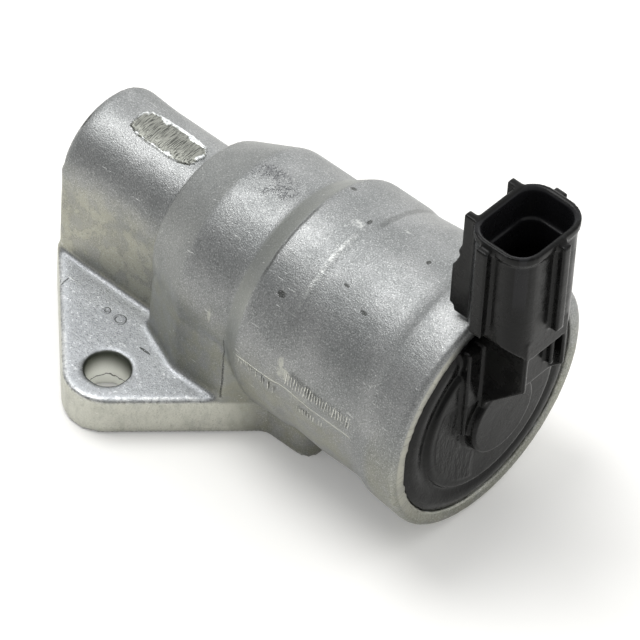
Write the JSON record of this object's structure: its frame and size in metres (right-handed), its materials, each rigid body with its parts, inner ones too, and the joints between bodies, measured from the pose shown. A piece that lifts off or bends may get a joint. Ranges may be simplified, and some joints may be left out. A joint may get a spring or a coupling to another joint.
{
  "type": "idle air control valve",
  "caption": "Cast idle air control valve with a two-bolt foot, two air ports, a solenoid plunger and a moulded cap with an upright plug socket.",
  "frame": {"origin": "midway between the two bolt holes, on the mounting face", "axes": "+X along the valve axis towards the solenoid and its plug socket, +Z out of the mounting face towards the socket mouth, +Y along the line of the bolt holes"},
  "size_m": [0.0885, 0.0616, 0.0621],
  "materials": {
    "cast_aluminium": "satin",
    "black_plastic": "satin",
    "seat_brass": "satin",
    "bearing_bronze": "matte",
    "magnetic_steel": "satin",
    "armature_steel": "satin",
    "ground_steel": "polished",
    "spring_steel": "satin",
    "head_aluminium": "satin",
    "black_rubber": "matte",
    "bobbin_plastic": "matte",
    "enamelled_copper": "satin",
    "terminal_brass": "polished"
  },
  "bodies": {
    "housing": {"valve_body": "cast_aluminium", "seat_ring": "seat_brass", "front_bush": "bearing_bronze", "front_pole_plate": "magnetic_steel", "rear_bush": "bearing_bronze", "shaft_seal": "black_rubber", "return_spring": "spring_steel", "guide_tube": "seat_brass", "bobbin": "bobbin_plastic", "coil_winding": "enamelled_copper", "flux_sleeve": "magnetic_steel", "rear_pole_plate": "magnetic_steel", "fixed_core": "magnetic_steel", "adjust_screw": "ground_steel", "trim_spring": "spring_steel", "cap_seal": "black_rubber", "end_cap": "black_plastic", "left_terminal": "terminal_brass", "right_terminal": "terminal_brass"},
    "plunger": {"plunger_shaft": "ground_steel", "valve_head": "head_aluminium", "head_seal": "black_rubber", "spring_seat": "ground_steel", "shaft_clip": "spring_steel", "armature": "armature_steel"}
  },
  "joints": [
    {"name": "plunger_slide", "type": "slide", "parent": "housing", "child": "plunger", "axis": [1, 0, 0], "range_m": [0, 0.0045], "stiffness_N_per_m": 400, "springref_m": -0.002, "deforming": ["return_spring", "trim_spring"]}
  ]
}
